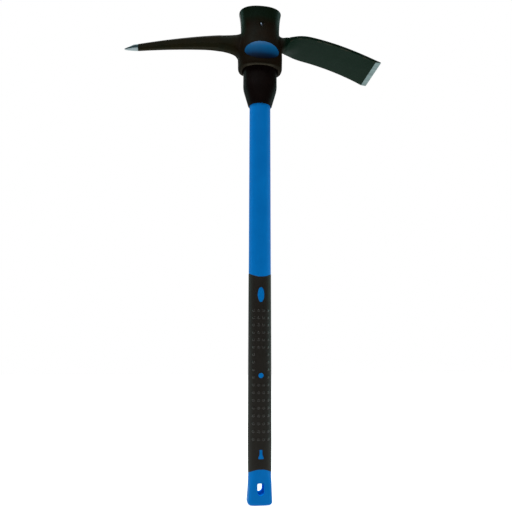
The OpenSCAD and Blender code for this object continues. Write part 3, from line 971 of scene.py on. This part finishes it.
def handle_jacket(plastic, slot_wall_painted_light):
    """Blue jacket moulded over the core, recessed for the grip, with keys in the grip's windows."""
    angles = [math.radians(angle) for angle in range(0, 91, 15)]
    foot = [(BUTT_ROUND * (1 - math.sin(a)), BUTT_ROUND * (1 - math.cos(a))) for a in angles]
    rings = [handle_ring(BUTT_ROUND, -inset, z) for inset, z in foot]
    rings += [handle_ring(z) for z in JACKET_RINGS]
    rings += [handle_ring(JACKET_TOP), (*CORE_HALF, JACKET_TOP, 0.0), (*CORE_HALF, CORE_FOOT, 0.0)]
    jacket = draw_out(rings)
    cap_open_rings()
    face_outwards()
    recess = grip_tube(2 * GRIP_PROUD, RECESS_EDGE)
    cut(recess, window_cutters(KEY_GAP))
    cut(jacket, recess)
    cut(jacket, hanging_slot())
    weld_seams(jacket)
    choose_sharp_edges(lambda c: SLOT_LOW - 1 < c.z < SLOT_HIGH + 1 and abs(c.x) < SLOT_HALF + 0.4, 50)
    bpy.ops.mesh.bevel(offset=SLOT_MOUTH * MM, segments=3, profile=0.5, clamp_overlap=True)
    finishes = [plastic, slot_wall_painted_light]
    for finish in finishes:
        jacket.data.materials.append(finish)
    # The slot's walls get the lighter blue: painted light in a recess that lies in shade
    choose_faces(lambda c, n: (SLOT_LOW - 0.5 < c.z < SLOT_HIGH + 0.5 and abs(c.x) < SLOT_HALF + 0.1
                               and abs(n.y) < 0.6))
    assign_finish(jacket, 1)
    return finish_piece(jacket, "handle_jacket_moulding", finishes, "handle_jacket")


def stud():
    """One low oval stud of the grip, drawn up from the floor."""
    half_width, half_height = STUD_HALF
    dome = draw_out([(half_width * s, half_height * s, z, 0.0) for s, z in STUD_DOME], STUD_CORNERS)
    cap_open_rings()
    face_outwards()
    return dome


def stud_places():
    """Places of the studs on the front: four columns, with a bare field in the middle two."""
    low, high = BARE_FIELD
    for row in range(STUD_ROWS):
        z = STUD_FOOT + STUD_RISE * row
        for column in range(STUD_COLUMNS):
            x = (column - (STUD_COLUMNS - 1) / 2) * STUD_STEP
            if abs(x) > BARE_HALF or not low < z < high:
                yield x, z


def on_grip(x, z, front):
    """Frame on the grip's outside at a place of its front or back: its third axis points out."""
    half, depth, _, shift, _ = handle_ring(z, GRIP_PROUD)
    y = front * depth * math.sqrt(1 - ((x - shift) / half) ** 2)
    out = Vector(((x - shift) / half ** 2, y / depth ** 2, 0)).normalized()
    up = Vector((0, 0, 1))
    side = up.cross(out)
    frame_turn = Matrix((side, up, out)).transposed().to_4x4()
    return Matrix.Translation(Vector((x, y, z)) * MM) @ frame_turn


def rubber_grip(rubber, polished):
    """Rubber grip with studs, polished by the hand, front and back, a bare field and windows."""
    grip = grip_tube(GRIP_PROUD, GRIP_EDGE)
    first = stud()
    deselect()
    studs = []
    for front in (-1, 1):
        for x, z in stud_places():
            copy = first.copy()
            copy.data = first.data.copy()
            bpy.context.collection.objects.link(copy)
            copy.data.transform(on_grip(x, z, front))
            studs.append(copy)
    bpy.data.objects.remove(first)
    studs = join(studs)
    for piece in (grip, studs):
        for material in (rubber, polished):
            piece.data.materials.append(material)
    edit(studs)
    bpy.ops.mesh.select_all(action="SELECT")
    assign_finish(studs, 1)
    cut(grip, studs, operation="UNION")
    cut(grip, window_cutters(0))
    return finish_piece(grip, "rubber_grip_moulding", [rubber, polished], "rubber_grip", 40)


# Label

def fill_middle():
    """Fills the smallest ring of a flat oval."""
    choose_edges(lambda p, q: max(abs(p.x), abs(q.x)) < 2)
    bpy.ops.mesh.edge_face_add()
    bpy.ops.mesh.select_all(action="SELECT")
    bpy.ops.mesh.normals_make_consistent(inside=False)


def eye_label(film, head):
    """Thin oval sticker that follows the front of the eye."""
    half_width, half_height = LABEL_HALF
    label = draw_out([(half_width * s, half_height * s, 0, 0.0) for s in LABEL_RINGS], LABEL_CORNERS)
    fill_middle()
    stand_up(label, (LABEL_X, LABEL_START_Y, LABEL_Z))
    apply_modifier(label, "SHRINKWRAP", target=head, wrap_method="PROJECT", use_project_y=True,
                   use_positive_direction=True, use_negative_direction=False, offset=LABEL_GAP * MM)
    apply_modifier(label, "SOLIDIFY", thickness=LABEL_T * MM, offset=1.0)
    return finish_piece(label, "eye_label", [film])


# Camera and studio

def photo_camera():
    """Camera at the photograph's place: it stands at knee height and looks up a little at the head."""
    photo_pixels = 512
    focal_pixels = 515.3
    place = Vector((-130.03, -917.78, 246.57)) * MM
    look = Vector((0.13052553, 0.97371555, 0.18665776))
    roll = math.radians(0.129)
    data = bpy.data.cameras.new("photo_camera")
    data.sensor_width = 36
    data.lens = focal_pixels / photo_pixels * data.sensor_width
    data.clip_start = 0.01
    camera = bpy.data.objects.new("photo_camera", data)
    bpy.context.scene.collection.objects.link(camera)
    turn = look.to_track_quat("-Z", "Y").to_matrix().to_4x4() @ Matrix.Rotation(roll, 4, "Z")
    camera.matrix_world = Matrix.Translation(place) @ turn
    bpy.context.scene.camera = camera


def soft_box(name, place, aim, size, power, colour=(1, 1, 1)):
    data = bpy.data.lights.new(name, "AREA")
    data.shape = "RECTANGLE"
    data.size, data.size_y = size
    data.energy = power
    data.color = colour
    light = bpy.data.objects.new(name, data)
    bpy.context.scene.collection.objects.link(light)
    light.location = place
    light.rotation_euler = (Vector(aim) - Vector(place)).to_track_quat("-Z", "Y").to_euler()


def studio_floor():
    deselect()
    bpy.ops.mesh.primitive_plane_add(size=8, location=(0, 1.5, 0))
    floor = bpy.context.object
    floor.name = "studio_floor"
    white = Finish("studio_white", Roughness=0.9, Emission_Color=(1, 1, 1, 1), Emission_Strength=0.85)
    white.set("Base Color", white.ramp(white.noise(3), [(0.0, 0.48), (1.0, 0.52)]))
    floor.data.materials.append(white.material)


def surroundings():
    """Room that is dim and warm behind the camera and pale at the sides and back, seen as plain white."""
    world = bpy.data.worlds.new("studio_surroundings")
    bpy.context.scene.world = world
    world.use_nodes = True
    tree = world.node_tree
    lit = tree.nodes["Background"]
    direction = tree.nodes.new("ShaderNodeTexCoord")
    parts = tree.nodes.new("ShaderNodeSeparateXYZ")
    to_back = tree.nodes.new("ShaderNodeMapRange")
    to_back.inputs["From Min"].default_value = -1
    colour = tree.nodes.new("ShaderNodeValToRGB")
    elements = colour.color_ramp.elements
    for place, tone in ((0.35, (0.070, 0.054, 0.046)), (0.60, (0.30, 0.36, 0.35))):
        elements.new(place).color = (*tone, 1)
    elements[0].color = (0.045, 0.030, 0.024, 1)
    elements[-1].color = (0.50, 0.60, 0.58, 1)
    tree.links.new(direction.outputs["Generated"], parts.inputs[0])
    tree.links.new(parts.outputs["Y"], to_back.inputs["Value"])
    tree.links.new(to_back.outputs[0], colour.inputs["Fac"])
    tree.links.new(colour.outputs["Color"], lit.inputs["Color"])
    seen = tree.nodes.new("ShaderNodeBackground")
    seen.inputs["Color"].default_value = (1, 1, 1, 1)
    rays = tree.nodes.new("ShaderNodeLightPath")
    mix = tree.nodes.new("ShaderNodeMixShader")
    tree.links.new(rays.outputs["Is Camera Ray"], mix.inputs[0])
    tree.links.new(lit.outputs[0], mix.inputs[1])
    tree.links.new(seen.outputs[0], mix.inputs[2])
    tree.links.new(mix.outputs[0], tree.nodes["World Output"].inputs["Surface"])


def studio():
    """White floor, and soft light from high in front, cooler from both sides, and on the floor behind."""
    studio_floor()
    surroundings()
    cool = (0.62, 1.0, 0.94)
    soft_box("key_box", place=(-0.5, -1.2, 3.4), aim=(0, 0, 0.4), size=(1.6, 1.2), power=85)
    soft_box("left_box", place=(-1.7, 0.6, 1.1), aim=(0, 0, 0.6), size=(0.6, 1.8), power=13, colour=cool)
    soft_box("right_box", place=(1.75, 0.25, 1.1), aim=(0, 0, 0.6), size=(1.3, 1.8), power=20, colour=cool)
    soft_box("back_box", place=(0, 2.4, 3.0), aim=(0, 1.6, 0), size=(3.0, 3.0), power=60)
    bpy.context.scene.view_settings.view_transform = "Standard"


photo_camera()
studio()
paint = forged_paint()
point_steel = ground_steel("ground_point", (60, 60, 700), (0.20, 0.24, 0.25))
# Darker copy of the point's steel: painted shade for its upper facets
shaded_point_steel = ground_steel("ground_point_painted_shade", (60, 60, 700), (0.06, 0.12, 0.135))
edge_steel = ground_steel("ground_edge", (60, 900, 60), (0.122, 0.172, 0.172))
head = forged_head([paint, point_steel, shaded_point_steel, edge_steel])
eye_sleeve(black_plastic())
cross_pin(zinc())
jacket_blue = blue_plastic("blue_moulded_plastic", gloss=0.03, shade=1)
# Lighter blue for the slot's walls: painted light where they lie in shade
slot_blue_painted_light = blue_plastic("blue_slot_wall_painted_light", gloss=0, shade=1.9)
handle_jacket(jacket_blue, slot_blue_painted_light)
rubber = grip_rubber("black_grip_rubber", gloss=0.14, low=0.50, high=0.66)
stud_rubber = grip_rubber("polished_stud_rubber", gloss=0.32, low=0.26, high=0.34)
rubber_grip(rubber, stud_rubber)
eye_label(label_print(), head)
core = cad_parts["fibreglass_core"]
core.data.materials.clear()
core.data.materials.append(fibreglass())

deselect()
